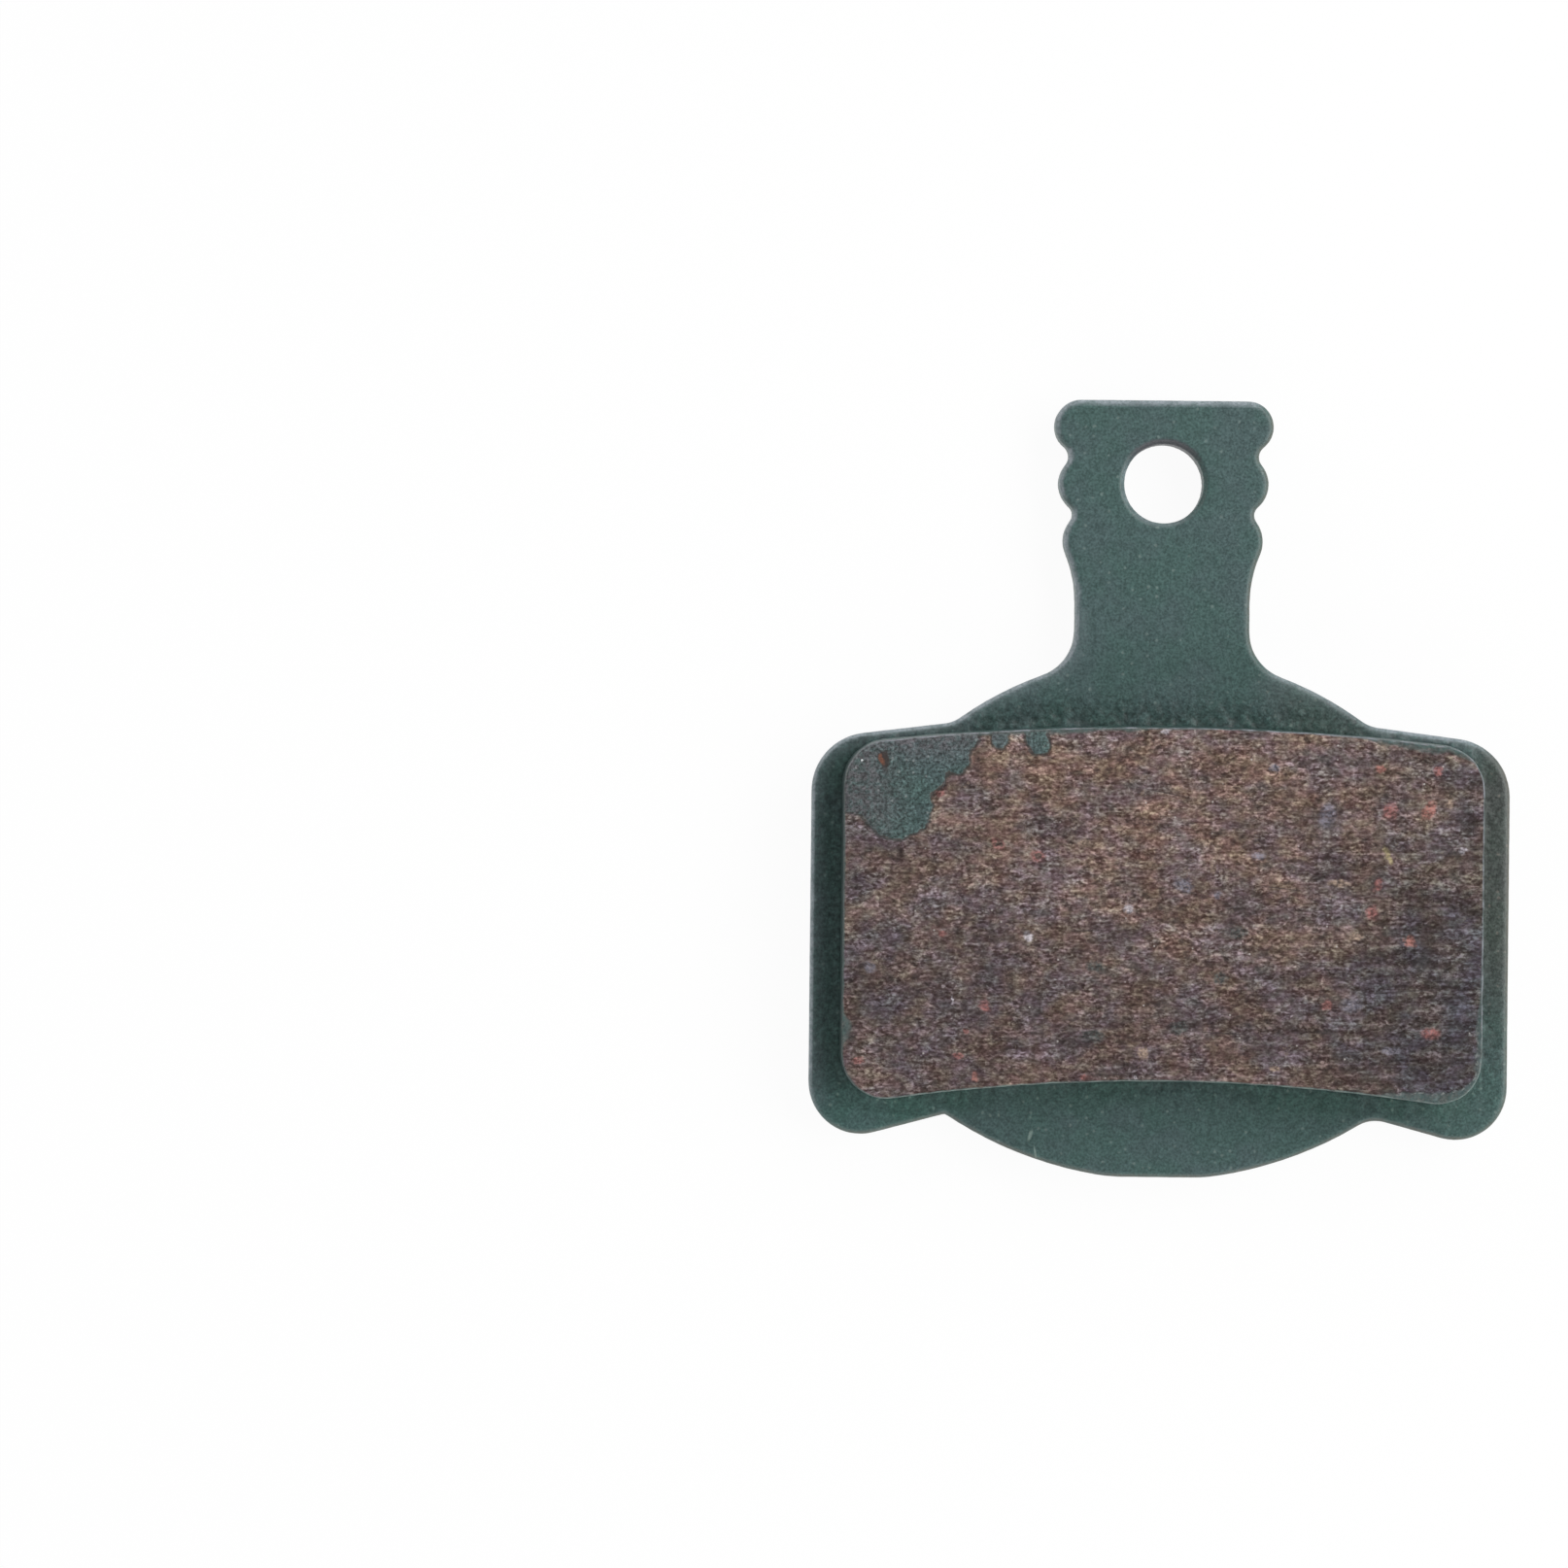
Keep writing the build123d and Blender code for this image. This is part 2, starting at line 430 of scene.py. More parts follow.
# powder coat: a green that turns bluer in clouds, with the powder's pebbles and peel and with pale specks
coat_green = (0.052, 0.102, 0.094, 1)
coat_blue = (0.060, 0.101, 0.101, 1)
coat_speck = (0.27, 0.34, 0.32, 1)
coat = bpy.data.node_groups.new("powder_coat", "ShaderNodeTree")
coat.interface.new_socket("Place", in_out="INPUT", socket_type="NodeSocketVector")
coat.interface.new_socket("Colour", in_out="OUTPUT", socket_type="NodeSocketColor")
coat.interface.new_socket("Roughness", in_out="OUTPUT", socket_type="NodeSocketFloat")
coat.interface.new_socket("Height", in_out="OUTPUT", socket_type="NodeSocketFloat")
place = coat.nodes.new("NodeGroupInput").outputs["Place"]
pebbles = noise(coat, place, 8.5, roughness=0.6)
peel = noise(coat, place, 2.2)
cloud = noise(coat, place, 0.45, detail=3.0)
colour = between(coat, cloud, 0.36, 0.66, coat_green, coat_blue)
colour = shaded(coat, 1.0, colour, pebbles, 0.2, 0.8, 0.66, 1.36)
colour = shaded(coat, 1.0, colour, peel, 0.25, 0.75, 0.90, 1.10)
crooked = roughened(coat, place, 5.0, 0.16)
pale_specks = times(coat, specks(coat, crooked, 2.6, 0.26, 0.08, 0.30), 0.32)
colour = blend(coat, pale_specks, colour, coat_speck)
outside = coat.nodes.new("NodeGroupOutput")
coat.links.new(colour, outside.inputs["Colour"])
coat.links.new(ease(coat, pebbles, 0.3, 0.7, 0.38, 0.54), outside.inputs["Roughness"])
coat.links.new(plus(coat, times(coat, pebbles, 0.6), peel), outside.inputs["Height"])


def use_coat(tree, place):
    """The powder coat on that place of a piece."""
    node = tree.nodes.new("ShaderNodeGroup")
    node.node_tree = coat
    tree.links.new(place, node.inputs["Place"])
    return node.outputs


plate_paint, tree = new_material("plate_paint")
place = in_millimetres(tree)
above = from_above(tree, place)
paint = use_coat(tree, place)
plate_y, plate_z = put(tree, "ShaderNodeSeparateXYZ", i0=place).outputs[1:]
on_front = ease(tree, plate_z, 0.5, 1.3)
on_back = ease(tree, plate_z, 0.7, 0.2)
colour = paint["Colour"]

# casts of colour on the right ear and the right of the upper lobe, and painted light lifting the lower left
# ear: a spot and its filter
front_casts = (
    (16.3, 3.2, 2.8, 15.0, 0, 0.5, (1.20, 0.80, 0.75, 1)),
    (-14.5, -9.8, 7.0, 4.4, 0, 0.6, (1.10, 1.17, 1.17, 1)),
    (7.6, 10.1, 5.6, 2.4, -25, 0.6, (1.08, 0.95, 0.92, 1)))
for *where, cast in front_casts:
    colour = tint(tree, times(tree, spot(tree, above, *where), on_front), colour, cast)

# crust of the coat near the block's foot, with painted shade in its hollows and painted highlight on its
# raised bits, and painted shade round the foot, weaker and greener below the block
below_block = -9.0
beside_block = -6.5
foot_shade_below = (0.94, 1.05, 0.96, 1)
foot_shade_beside = (0.77, 0.79, 0.77, 1)
from_block = read(tree, "from_foot")
close_by = ease(tree, from_block, 1.5, 0.3)
colour = shaded(tree, close_by, colour, read(tree, "gathered"), -0.06, 0.03, 0.70, 1.12)
crust_share = ease(tree, plate_y, below_block, beside_block, 0.45, 1.0)
crusty = times(tree, ease(tree, from_block, 3.0, 0.4), crust_share, on_front)
crust_and_highlight = noise(tree, above, 4.4, detail=3.0, roughness=0.65)
colour = shaded(tree, crusty, colour, crust_and_highlight, 0.34, 0.66, 0.70, 1.30)
painted_foot_shade = between(tree, plate_y, below_block, beside_block, foot_shade_below, foot_shade_beside)
colour = tint(tree, ease(tree, from_block, 2.2, 0.0), colour, painted_foot_shade)

# two scratches on the lower lobe: x, y, length, width and turn
lobe_scratches = ((-6.10, -10.30, 0.50, 0.16, 70), (-5.85, -11.15, 0.62, 0.09, 100))
lobe_scratch = (0.26, 0.34, 0.31, 1)
for where in lobe_scratches:
    scratch = times(tree, spot(tree, above, *where, soft=0.6), on_front, 0.6)
    colour = blend(tree, scratch, colour, lobe_scratch)

# dimples on the back: painted shade in a ring down their walls and painted highlight on the lip around them
dimple_centre = (8.35, 3.9, 0)
dimple_wall = 2.25
dimple_lip = 2.75
dimple_shade = (0.050, 0.062, 0.060, 1)
one_quarter = put(tree, "ShaderNodeVectorMath", {"operation": "ABSOLUTE"}, i0=above).outputs[0]
from_dimple = apart(tree, one_quarter, dimple_centre)
ring_shade = times(tree, near(tree, from_dimple, dimple_wall, 0.42, 0.15), on_back, 0.5)
colour = blend(tree, ring_shade, colour, dimple_shade)
lip = times(tree, near(tree, from_dimple, dimple_lip, 0.22, 0.05), on_back)

# painted highlight and shade on the edges, and painted highlight on the dimples' lips, patchy and gritty;
# painted shade in the pin hole
pale_highlight = (0.28, 0.32, 0.35, 1)
brown_shade = (0.125, 0.108, 0.080, 1)
bore_shade = (0.066, 0.062, 0.072, 1)
patchy = ease(tree, noise(tree, place, 1.6, detail=3.0, roughness=0.65), 0.3, 0.62, 0.5, 1.0)
gritty = ease(tree, noise(tree, place, 6.5, roughness=0.6), 0.30, 0.58, 0.55, 1.08)
uneven = times(tree, patchy, gritty)
colour = blend(tree, times(tree, read(tree, "edge_highlight"), uneven, 0.9), colour, pale_highlight)
colour = blend(tree, times(tree, lip, uneven, 0.3), colour, pale_highlight)
colour = blend(tree, times(tree, read(tree, "edge_shade"), uneven, 0.55), colour, brown_shade)
colour = blend(tree, times(tree, read(tree, "pin_hole_shade"), 0.85), colour, bore_shade)

crusted = plus(tree, paint["Height"], times(tree, crust_and_highlight, crusty, 2.0))
bump = put(tree, "ShaderNodeBump", Height=crusted, Strength=0.3, Distance=0.04 * mm).outputs[0]
inputs = {"Base_Color": colour, "Roughness": paint["Roughness"], "Normal": bump}
surface = put(tree, "ShaderNodeBsdfPrincipled", **inputs).outputs[0]
put(tree, "ShaderNodeOutputMaterial", Surface=surface)
plate.data.materials.append(plate_paint)
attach(plate, "root")
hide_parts("backing_plate")

# Friction block. A resin compound of fibres and mineral grains, moulded on to the studs of the plate. It was
# coated with the plate, then its face was ground flat, so the coat is left on its walls and on a low corner
# of the face.
block_grain = 0.1 * mm
face_height = block_high.z
block = skinned_copy(block_node, "pad_friction_block", block_grain)
block_walls = surface_of(block_node, lambda face: abs(face.normal.z) < 0.9)


def well_under(face):
    """Whether a face is on the block's underside, away from its walls and its sockets."""
    wall_margin = 0.4 * mm
    return face.normal.z < -0.9 and block_walls.find_nearest(face.center)[3] > wall_margin


thin_out(block, well_under, share=0.03)

# distances from the brink, where the face meets the walls: inwards on the face, and negative below it
face_slack = 0.004 * mm
wall_slack = 0.02 * mm
on_face = [vertex.co.z > face_height - face_slack for vertex in block.data.vertices]
on_walls = [abs(v.normal.z) < 0.6 and from_walls(v.co) < wall_slack for v in block.data.vertices]
from_brink = []
for vertex, ground in zip(block.data.vertices, on_face):
    from_brink.append(outer_walls.find_nearest(vertex.co)[3] if ground else vertex.co.z - face_height)

# outline of the coat that is left on the face, as discs that run together: x, y and radius in millimetres
coat_discs = (
    (-12.68, 5.48, 1.61), (-13.62, 7.22, 2.21), (-11.78, 7.24, 1.38), (-14.85, 6.05, 0.97),
    (-10.90, 8.30, 0.90), (-9.94, 7.58, 0.60), (-9.71, 8.41, 0.60), (-9.26, 8.88, 0.46),
    (-7.87, 8.68, 0.40), (-6.12, 8.82, 0.50), (-5.98, 8.41, 0.44))


def outside_coat(vertex):
    """Distance of a vertex outside the coat that is left on the face, in millimetres."""
    point = (vertex.co.x / mm, vertex.co.y / mm)
    return min(math.dist(point, (x, y)) - radius for x, y, radius in coat_discs)


def foot_edge(vertex):
    """Weight of the edge where the block's walls meet the plate."""
    away = math.hypot(from_walls(vertex.co), vertex.co.z - seat)
    return 1 - smooth(away, 0.08 * mm, 0.25 * mm)


def low_corner(vertex):
    """Weight of the corner that the grinding missed: it deepens inside the coat and fades down the walls."""
    by_face = 1 - smooth(-from_brink[vertex.index], 0.0, 0.5 * mm)
    return smooth(-outside_coat(vertex), -0.3, 2.4) * by_face


def ground_face(vertex):
    """Weight of the bare face, inside its brink and outside the coat."""
    inside = smooth(from_brink[vertex.index], 0.03 * mm, 0.35 * mm)
    return inside * smooth(outside_coat(vertex), -0.15, 0.15)


def brink(vertex):
    """Weight of the brink between the face and the walls."""
    return 1 - smooth(abs(from_brink[vertex.index]), 0.05 * mm, 0.22 * mm)


def open_walls(vertex):
    """Weight of the walls below the brink."""
    return smooth(-from_brink[vertex.index], 0.05 * mm, 0.4 * mm) if on_walls[vertex.index] else 0


def settle(piece, group, passes):
    """Evens out a vertex group."""
    even = piece.modifiers.new(group, "SMOOTH")
    even.vertex_group = group
    even.factor = 0.5
    even.iterations = passes
    bpy.ops.object.modifier_apply(modifier=group)


# relief of the block, all of it inwards, with the face's marks drawn out along the grinding
corner_depth = 0.12 * mm
grinding_depth = 0.03 * mm
pit_depth = 0.08 * mm
chip_depth = 0.055 * mm
wall_depth = 0.05 * mm
grinding = clouds("grinding", 0.16 * mm, contrast=1.5, depth=2)
pits = clouds("pits", 0.30 * mm, contrast=5.0, intensity=0.33, depth=2)
chips = clouds("chips", 0.8 * mm, contrast=3.0, intensity=0.8, depth=2)
wall_lumps = clouds("wall_lumps", 0.5 * mm, contrast=1.4, depth=2)
heights = [vertex.co.z for vertex in block.data.vertices]
weigh(block, "foot_edge", foot_edge)
weigh(block, "low_corner", low_corner)
weigh(block, "face", ground_face)
weigh(block, "brink", brink)
weigh(block, "walls", open_walls)
push(block, "low_corner", -corner_depth)
push(block, "face", -grinding_depth, "Z", grinding, stretch=(2.2, 1.0, 1.0))
push(block, "face", -pit_depth, "Z", pits, stretch=(1.5, 1.0, 1.0))
push(block, "brink", -chip_depth, "NORMAL", chips)
push(block, "walls", -wall_depth, "NORMAL", wall_lumps)
settle(block, "brink", passes=3)
settle(block, "foot_edge", passes=3)
sunk = []
for vertex, height, ground in zip(block.data.vertices, heights, on_face):
    sunk.append((height - vertex.co.z) / mm if ground else 0.0)
keep(block, "from_brink", [distance / mm for distance in from_brink])
keep(block, "sunk", sunk)

friction_compound, tree = new_material("friction_compound")
place = in_millimetres(tree)
above = from_above(tree, place)
face_x, face_y = put(tree, "ShaderNodeSeparateXYZ", i0=above).outputs[:2]
ragged = roughened(tree, above, 2.4, 0.5)
edge = read(tree, "from_brink")


def ramp(tree, value, stops, interpolation="LINEAR"):
    """Colour that follows the value through those stops."""
    node = put(tree, "ShaderNodeValToRGB", Fac=value)
    node.color_ramp.interpolation = interpolation
    elements = node.color_ramp.elements
    elements.remove(elements[1])
    elements[0].position, elements[0].color = stops[0]
    for position, shade in stops[1:]:
        elements.new(position).color = shade
    return node.outputs[0]


# fine grain of the compound: crumbs drawn out along the grinding, and furrows, deepest at lower right
fine_share = 0.46
crumb_share = 0.12
streak_share = 0.14
middling_share = 0.14
grain_level = 0.432
grinding_stretch = (0.62, 1, 1)
compound_shades = (
    (0.385, (0.037, 0.0220, 0.0200, 1)), (0.456, (0.067, 0.0465, 0.0440, 1)),
    (0.500, (0.096, 0.0707, 0.0677, 1)), (0.544, (0.138, 0.1075, 0.1035, 1)),
    (0.588, (0.194, 0.158, 0.153, 1)), (0.632, (0.275, 0.232, 0.226, 1)))
drawn_out = moved(tree, "MULTIPLY", above, grinding_stretch)
fine = times(tree, noise(tree, drawn_out, 7.8, roughness=0.6), fine_share)
crumbs = put(tree, "ShaderNodeTexVoronoi", i0=drawn_out, Scale=7.6).outputs["Color"]
crumb = times(tree, put(tree, "ShaderNodeSeparateColor", i0=crumbs).outputs[0], crumb_share)
streaks = noise(tree, above, 6.0, detail=1.0, roughness=0.5, stretch=(0.10, 1, 1))
streak = times(tree, streaks, streak_share)
lines = plus(tree, fine, crumb, streak, -0.5 * (fine_share + crumb_share + streak_share))
rougher = ease(tree, noise(tree, above, 0.75), 0.35, 0.65, 0.72, 1.18)
middling = times(tree, noise(tree, drawn_out, 2.4, roughness=0.6), middling_share)
furrows = noise(tree, above, 2.6, roughness=0.6, stretch=(0.07, 1, 1))
to_lower_right = reckon(tree, "SUBTRACT", times(tree, face_x, 0.7), face_y)
furrowed = ease(tree, to_lower_right, -6.0, 12.0, 0.05, 0.30)
furrow = times(tree, reckon(tree, "SUBTRACT", furrows, 0.5), furrowed)
grain = plus(tree, times(tree, lines, rougher), middling, grain_level, furrow)
colour = ramp(tree, grain, compound_shades)

# mineral grains of several kinds, each a cell of its own lightness
grain_kinds = (
    (0.0, (1.06, 1.05, 1.04, 1)), (0.30, (1.0, 1.0, 1.0, 1)), (0.50, (0.97, 0.97, 0.98, 1)),
    (0.68, (0.62, 0.62, 0.62, 1)), (0.83, (1.02, 1.02, 0.99, 1)), (0.93, (1.43, 1.42, 1.41, 1)))
grain_place = moved(tree, "MULTIPLY", ragged, grinding_stretch)
cells = put(tree, "ShaderNodeTexVoronoi", i0=grain_place, Scale=3.0).outputs["Color"]
draw = put(tree, "ShaderNodeSeparateColor", i0=cells).outputs[1]
colour = tint(tree, 0.4, colour, ramp(tree, draw, grain_kinds, "CONSTANT"))

# clouds in the compound: lighter and darker, cooler and warmer, more purple and greener
cool_cast = (0.90, 0.97, 1.10, 1)
warm_cast = (1.09, 1.02, 0.89, 1)
purple_cast = (1.024, 0.954, 1.026, 1)
green_cast = (0.978, 1.046, 0.976, 1)
blotches = noise(tree, above, 0.9, roughness=0.6, stretch=(0.7, 1, 1))
colour = shaded(tree, 1.0, colour, blotches, 0.35, 0.65, 0.89, 1.12)
broad = noise(tree, above, 0.32, roughness=0.5, stretch=(0.6, 1, 1))
colour = shaded(tree, 1.0, colour, broad, 0.35, 0.65, 0.88, 1.14)
elsewhere = moved(tree, "ADD", above, (40, 0, 0))
warmth = noise(tree, elsewhere, 0.6, detail=3.0, stretch=(0.75, 1, 1))
colour = tint(tree, 1.0, colour, between(tree, warmth, 0.35, 0.65, cool_cast, warm_cast))
farther = moved(tree, "ADD", above, (80, 0, 0))
greenness = noise(tree, farther, 2.0, roughness=0.5, stretch=(0.75, 1, 1))
colour = tint(tree, 1.0, colour, between(tree, greenness, 0.35, 0.65, purple_cast, green_cast))

# fibres, in some places
fibre = (0.34, 0.28, 0.235, 1)
fibre_clouds = noise(tree, above, 2.6, detail=1.0, roughness=0.5, stretch=(0.7, 1, 1))
some_places = ease(tree, noise(tree, above, 1.3, detail=1.0), 0.54, 0.64)
fibres = times(tree, near(tree, fibre_clouds, 0.5, 0.018, 0.004), some_places, 0.25)
colour = blend(tree, fibres, colour, fibre)

# casts of colour on the face: across its top, at its left and right, along its foot and at lower right
face_casts = (
    (-1.0, 6.5, 26.0, 15.0, (1.58, 1.47, 1.36, 1)),
    (-12.0, -1.5, 12.0, 16.0, (0.95, 0.98, 1.02, 1)),
    (14.5, 1.5, 9.0, 18.0, (0.93, 0.985, 1.01, 1)),
    (-2.0, -7.0, 20.0, 5.0, (1.14, 1.08, 1.07, 1)),
    (13.5, -5.5, 11.0, 14.0, (0.65, 0.71, 0.77, 1)))
for *where, cast in face_casts:
    colour = tint(tree, spot(tree, above, *where, soft=0.9), colour, cast)

# dark lumps, scratches and glints, a scratch by its x, y, length, width and turn
dark_lump = (0.052, 0.056, 0.055, 1)
face_scratch = (0.040, 0.032, 0.032, 1)
glint = (0.55, 0.52, 0.49, 1)
lump_place = moved(tree, "MULTIPLY", ragged, (0.55, 1, 1))
dark_lumps = times(tree, specks(tree, lump_place, 1.2, 0.14, 0.10, 0.40), 0.40)
colour = blend(tree, dark_lumps, colour, dark_lump)
face_scratches = (
    (-0.05, 6.20, 2.40, 0.07, -11), (-3.60, -0.40, 1.70, 0.07, 2), (11.90, -3.10, 2.60, 0.08, 3),
    (5.60, 1.70, 2.0, 0.06, -6), (-11.3, -1.9, 1.9, 0.06, 5), (2.9, -5.2, 2.2, 0.07, -3))
for where in face_scratches:
    colour = blend(tree, times(tree, spot(tree, above, *where), 0.6), colour, face_scratch)
glints = times(tree, specks(tree, above, 2.2, 0.12, 0.04, 0.14), 0.75)
colour = blend(tree, glints, colour, glint)

# larger grains that stand out, each broken up by the grain around it: x, y, length, width, turn and colour
red = (0.240, 0.104, 0.097, 1)
rust = (0.275, 0.122, 0.103, 1)
umber = (0.100, 0.064, 0.056, 1)
slate = (0.150, 0.140, 0.168, 1)
chalk = (0.40, 0.37, 0.40, 1)
straw = (0.31, 0.26, 0.145, 1)
tan = (0.27, 0.20, 0.155, 1)
pewter = (0.072, 0.076, 0.073, 1)
larger_grains = (
    (-10.61, 6.01, 0.42, 0.30, 20, red), (-7.87, 3.64, 0.62, 0.42, -20, red),
    (-5.97, 3.11, 0.62, 0.52, 0, red), (-7.85, 3.64, 0.30, 0.18, -20, umber),
    (-5.95, 3.11, 0.28, 0.22, 0, umber), (-10.51, 6.60, 0.50, 0.06, 80, chalk),
    (-10.50, -0.63, 0.40, 0.28, 0, red), (10.21, 7.42, 0.45, 0.36, 0, rust),
    (12.98, 7.31, 0.45, 0.42, 60, red), (10.69, 5.40, 0.80, 0.62, 60, red),
    (12.54, 5.47, 1.00, 0.50, 58, rust), (13.50, 5.75, 0.40, 0.28, 40, tan),
    (10.15, 1.89, 0.60, 0.36, 80, red), (9.90, 0.60, 0.62, 0.60, 50, red),
    (11.72, -0.75, 0.50, 0.50, 20, rust), (-8.43, -4.02, 0.50, 0.60, 0, red),
    (-9.30, -5.18, 0.30, 0.22, 0, red), (-9.65, -6.38, 0.42, 0.26, 0, red),
    (-8.86, -7.39, 0.30, 0.50, 0, rust), (-14.40, -6.66, 0.55, 0.30, 0, red),
    (-3.70, -7.33, 0.40, 0.24, 0, red), (7.84, -3.80, 0.50, 0.56, 0, red),
    (12.74, -5.13, 0.80, 0.46, 0, red), (-13.89, -2.23, 0.60, 0.45, 0, slate),
    (-6.39, -0.73, 0.36, 0.46, 20, chalk), (7.74, 5.19, 0.70, 1.05, -15, slate),
    (5.19, 7.37, 0.50, 0.40, 0, slate), (14.21, 3.59, 0.36, 0.36, 0, chalk),
    (8.95, -3.84, 1.00, 0.60, 0, slate), (10.86, -5.94, 0.75, 0.40, 0, slate),
    (10.62, 3.37, 0.90, 0.26, -68, straw), (8.29, 1.96, 0.95, 0.36, 0, tan),
    (9.14, -0.56, 0.60, 0.30, 0, tan), (-0.90, -6.15, 0.40, 0.60, 0, tan),
    (5.34, -6.87, 0.50, 0.30, 0, tan), (-9.96, -3.76, 0.10, 0.50, 10, chalk),
    (0.05, 9.11, 0.42, 0.24, 0, chalk), (-1.25, -7.31, 0.16, 0.16, 0, chalk),
    (0.96, 1.84, 0.95, 0.60, -20, slate), (2.53, 1.35, 0.36, 0.30, 0, slate),
    (4.45, 3.21, 0.60, 0.42, 0, slate), (-1.66, 0.66, 0.44, 0.36, 0, chalk),
    (-3.35, -5.40, 1.15, 0.60, 0, pewter), (0.80, -4.96, 0.85, 0.62, 0, pewter),
    (2.71, -2.61, 0.65, 0.60, 0, pewter), (-3.15, -2.12, 0.90, 0.50, 0, pewter),
    (3.52, -0.44, 0.95, 0.55, 0, pewter), (2.33, 2.64, 0.28, 0.52, 10, tan),
    (-1.20, 4.80, 2.30, 0.36, 0, umber), (-3.76, 3.73, 0.60, 0.40, 0, tan))
large_grains = 0.0
large_colour = red
for *where, shade in larger_grains:
    one_grain = spot(tree, ragged, *where, soft=0.45)
    large_colour = between(tree, one_grain, 0.0, 0.1, large_colour, shade)
    large_grains = reckon(tree, "MAXIMUM", large_grains, one_grain)
large_colour = shaded(tree, 1.0, large_colour, grain, 0.40, 0.62, 0.45, 1.75)
grit = ease(tree, noise(tree, above, 6.6, roughness=0.7), 0.36, 0.56, 0.35, 0.95)
colour = blend(tree, times(tree, large_grains, grit), colour, large_colour)
pit_shade = (0.030, 0.024, 0.024, 1)
colour = blend(tree, ease(tree, read(tree, "sunk"), 0.03, 0.11, 0.0, 0.5), colour, pit_shade)

# coat left on the low corner, with a ragged border
disc_blend = 0.38
paint = use_coat(tree, place)
gentle = roughened(tree, roughened(tree, above, 1.5, 0.5), 6.0, 0.12)


def outside_disc(x, y, radius):
    """Distance outside a disc, in millimetres."""
    return reckon(tree, "SUBTRACT", apart(tree, gentle, (x, y, 0)), radius)


corner = outside_disc(*coat_discs[0])
for disc in coat_discs[1:]:
    corner = reckon(tree, "SMOOTH_MIN", corner, outside_disc(*disc), disc_blend)
on_top = ease(tree, edge, -0.10, -0.02)
patch = times(tree, ease(tree, corner, 0.03, -0.03), on_top)
border = times(tree, near(tree, corner, 0.05, 0.10, 0.02), 0.7)

# coat left along the rim, wider in some places: x, y, length, width and how much wider
rim_places = (
    (13.4, -8.5, 4.6, 1.9, 0.45), (15.1, -6.3, 1.4, 6.0, 0.18), (12.8, 8.7, 4.6, 1.6, 0.32),
    (-15.0, -5.15, 0.9, 1.0, 0.26), (-5.0, 9.2, 9.0, 1.2, 0.14))
rim_width = 0.05
for *where, extra in rim_places:
    rim_width = plus(tree, rim_width, times(tree, spot(tree, above, *where, soft=0.7), extra))
rim_clouds = noise(tree, above, 0.9, detail=3.0, roughness=0.6)
rim_width = times(tree, rim_width, ease(tree, rim_clouds, 0.3, 0.7, 0.6, 1.4))
softness = plus(tree, times(tree, rim_width, 0.6), 0.03)
past_rim = reckon(tree, "SUBTRACT", edge, rim_width)
trim = ease(tree, past_rim, softness, times(tree, softness, -1.0))
coated = reckon(tree, "MAXIMUM", patch, trim)

# the patch on the corner is worn towards its left and its top, and sandy and mottled all over
worn_grey = (0.080, 0.088, 0.093, 1)
dark_sand = (0.33, 0.30, 0.30, 1)
pale_sand = (1.85, 1.66, 1.68, 1)
top_cast = (1.30, 1.20, 1.24, 1)
patch_speck = (0.33, 0.36, 0.36, 1)
by_left = spot(tree, gentle, -15.2, 6.2, 4.6, 7.0, soft=0.65)
by_top = spot(tree, gentle, -12.0, 9.3, 9.0, 2.8, soft=0.7)
worn = times(tree, reckon(tree, "MAXIMUM", by_left, by_top), patch)
worn_clouds = noise(tree, above, 3.0, detail=3.0, roughness=0.7)
worn = times(tree, worn, ease(tree, worn_clouds, 0.34, 0.60, 0.25, 1.0))
sand = noise(tree, above, 7.0, detail=3.0, roughness=0.75)
mottle = noise(tree, above, 2.2, detail=3.0, roughness=0.6)
coat_colour = blend(tree, worn, paint["Colour"], worn_grey)
coat_colour = tint(tree, patch, coat_colour, between(tree, sand, 0.32, 0.70, dark_sand, pale_sand))
coat_colour = shaded(tree, patch, coat_colour, mottle, 0.3, 0.7, 0.74, 1.24)
coat_colour = tint(tree, times(tree, by_top, patch), coat_colour, top_cast)
patch_specks = times(tree, patch, specks(tree, above, 3.0, 0.30, 0.06, 0.26), 0.5)
coat_colour = blend(tree, patch_specks, coat_colour, patch_speck)

# painted shade on the walls, deepest on the left, and the rim is rubbed in mottles
left_wall_shade = (0.32, 0.36, 0.36, 1)
other_wall_shade = (0.62, 0.66, 0.66, 1)
rim_dark = (0.044, 0.050, 0.047, 1)
rim_pale = (0.116, 0.124, 0.117, 1)
border_shade = (0.035, 0.042, 0.040, 1)
wall = ease(tree, edge, -0.05, -0.25)
coat_colour = tint(tree, wall, coat_colour, between(tree, face_x, -15.0, -14.0, left_wall_shade, other_wall_shade))
rubbed = ease(tree, mottle, 0.38, 0.62, 0.20, 0.80)
rubbed = times(tree, trim, rubbed, reckon(tree, "SUBTRACT", 1.0, wall))
coat_colour = blend(tree, rubbed, coat_colour, between(tree, sand, 0.40, 0.60, rim_dark, rim_pale))
colour = blend(tree, border, colour, border_shade)
colour = blend(tree, coated, colour, coat_colour)

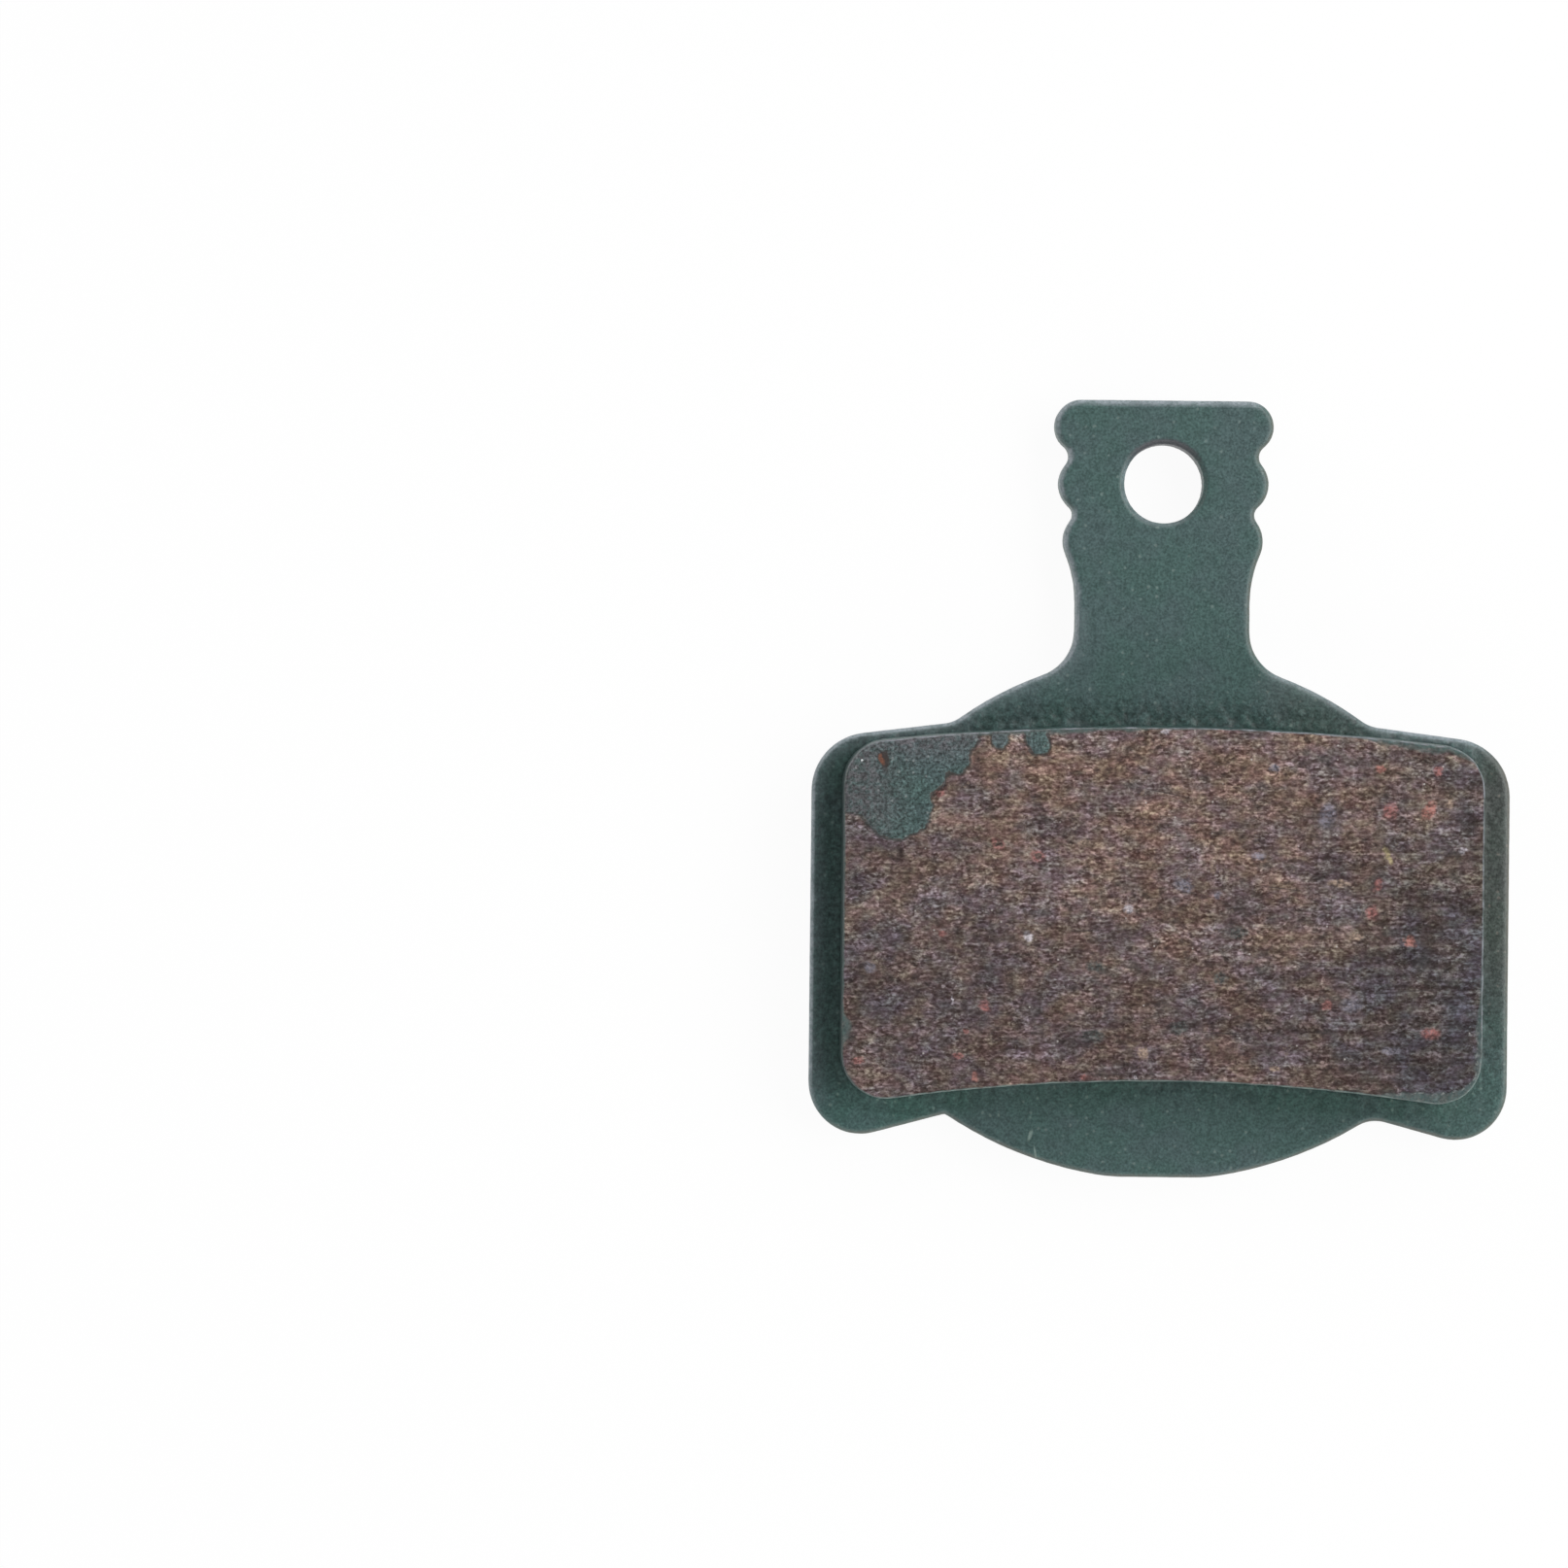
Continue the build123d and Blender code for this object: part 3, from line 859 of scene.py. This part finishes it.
# pale dots where the rim's coat ends at lower right, and a pale line along the brink, stronger in places
seam_dot = (0.26, 0.28, 0.27, 1)
lower_brink = (0.17, 0.235, 0.215, 1)
upper_brink = (0.27, 0.28, 0.32, 1)
seam_dots = ease(tree, noise(tree, above, 5.0), 0.48, 0.60)
at_lower_right = spot(tree, above, 13.8, -7.2, 6.0, 5.0, soft=0.6)
seam = times(tree, near(tree, edge, rim_width, 0.10, 0.02), seam_dots, at_lower_right, 0.6)
colour = blend(tree, seam, colour, seam_dot)
line_strength = ease(tree, noise(tree, above, 1.8, detail=3.0), 0.36, 0.64, 0.08, 0.80)
off_left = ease(tree, face_x, -15.0, -13.0)
by_patch = ease(tree, face_y, 5.5, 7.5, 0.0, 0.6)
line_strength = times(tree, line_strength, reckon(tree, "MAXIMUM", off_left, by_patch))
brink_line = times(tree, near(tree, edge, 0.0, 0.10, 0.02), line_strength)
colour = blend(tree, brink_line, colour, between(tree, face_y, -6.5, -4.5, lower_brink, upper_brink))

# a chip in the patch, with the compound's red in its core, and one bright speck beside it
chip_shade = (0.040, 0.028, 0.025, 1)
chip_core = (0.20, 0.080, 0.048, 1)
bright_speck = (0.70, 0.73, 0.73, 1)
chip = times(tree, spot(tree, gentle, -13.30, 7.62, 0.50, 0.90, turn=12), on_top, 0.9)
colour = blend(tree, chip, colour, chip_shade)
core = spot(tree, gentle, -13.42, 7.62, 0.22, 0.56, turn=14)
core = times(tree, core, ease(tree, sand, 0.40, 0.60, 0.35, 1.0))
colour = blend(tree, core, colour, chip_core)
colour = blend(tree, spot(tree, above, -14.38, 7.58, 0.10, 0.10), colour, bright_speck)


def bare_or_coated(bare, painted):
    """One value on the bare compound and another where the coat is left."""
    return put(tree, "ShaderNodeMix", {"data_type": "FLOAT"}, i0=coated, i2=bare, i3=painted).outputs[0]


roughness = bare_or_coated(0.82, paint["Roughness"])
shine = bare_or_coated(0.2, 0.5)
relief = bare_or_coated(grain, plus(tree, times(tree, paint["Height"], 0.3), 0.3))
bump = put(tree, "ShaderNodeBump", Height=relief, Strength=0.5, Distance=0.06 * mm).outputs[0]
inputs = {"Base_Color": colour, "Roughness": roughness, "Normal": bump, "Specular_IOR_Level": shine}
surface = put(tree, "ShaderNodeBsdfPrincipled", **inputs).outputs[0]
put(tree, "ShaderNodeOutputMaterial", Surface=surface)
block.data.materials.append(friction_compound)
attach(block, "root")
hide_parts("friction_block")

# Studio. A plain white floor that looks evenly lit to the camera, soft lamps all round, the strongest on the
# right, and a dim even surround.
floor_size = 3.0
floor_drop = 0.02 * mm
floor_grey = (0.92, 0.92, 0.92, 1)
white = (1, 1, 1, 1)
bpy.ops.object.select_all(action="DESELECT")
bpy.ops.mesh.primitive_plane_add(size=floor_size, location=(0, 0, -floor_drop))
floor = bpy.context.active_object
floor.name = "studio_floor"
floor_white, tree = new_material("floor_white")
rays = put(tree, "ShaderNodeLightPath").outputs
seen = reckon(tree, "MAXIMUM", rays["Is Glossy Ray"], rays["Is Transmission Ray"])
seen = reckon(tree, "MAXIMUM", rays["Is Camera Ray"], seen)
matt = put(tree, "ShaderNodeBsdfDiffuse", Color=floor_grey).outputs[0]
glow = put(tree, "ShaderNodeEmission", Color=white, Strength=1.0).outputs[0]
both = put(tree, "ShaderNodeMixShader", i0=times(tree, seen, 0.95), i1=matt, i2=glow).outputs[0]
put(tree, "ShaderNodeOutputMaterial", Surface=both)
floor.data.materials.append(floor_white)


def soft_lamp(name, azimuth, elevation, width, height, power):
    """A rectangular soft lamp in that direction, turned to the pad, with its width level."""
    distance = 0.5
    lamp = bpy.data.lights.new(name, "AREA")
    lamp.shape = "RECTANGLE"
    lamp.size = width
    lamp.size_y = height
    lamp.energy = power
    holder = bpy.data.objects.new(name, lamp)
    bpy.context.scene.collection.objects.link(holder)
    level = distance * math.cos(math.radians(elevation))
    rise = distance * math.sin(math.radians(elevation))
    bearing = math.radians(azimuth)
    holder.location = (level * math.cos(bearing), level * math.sin(bearing), rise)
    holder.rotation_euler = (-holder.location).to_track_quat("-Z", "Y").to_euler()


soft_lamp("key_lamp", 18, 38, width=0.8, height=0.3, power=3.5)
soft_lamp("left_lamp", 180, 14, width=0.8, height=0.2, power=0.55)
soft_lamp("edge_lamp", 118, 18, width=0.8, height=0.2, power=1.2)
soft_lamp("front_lamp", 270, 25, width=0.8, height=0.25, power=1.5)
world = bpy.data.worlds.new("studio_surround")
world.use_nodes = True
world.node_tree.nodes["Background"].inputs["Color"].default_value = white
world.node_tree.nodes["Background"].inputs["Strength"].default_value = 0.12
bpy.context.scene.world = world
bpy.context.scene.view_settings.view_transform = "Standard"

# Camera. It looks straight down from far enough for little perspective, turned by a little over half a
# degree, with the pad on the right of the frame.
camera = bpy.data.cameras.new("camera")
camera.sensor_width = 36.0
camera.lens = 118.95
viewer = bpy.data.objects.new("camera", camera)
bpy.context.scene.collection.objects.link(viewer)
viewer.location = (-0.01807, 0.00641, 0.25)
viewer.rotation_euler = (0, 0, math.radians(0.6))
bpy.context.scene.camera = viewer
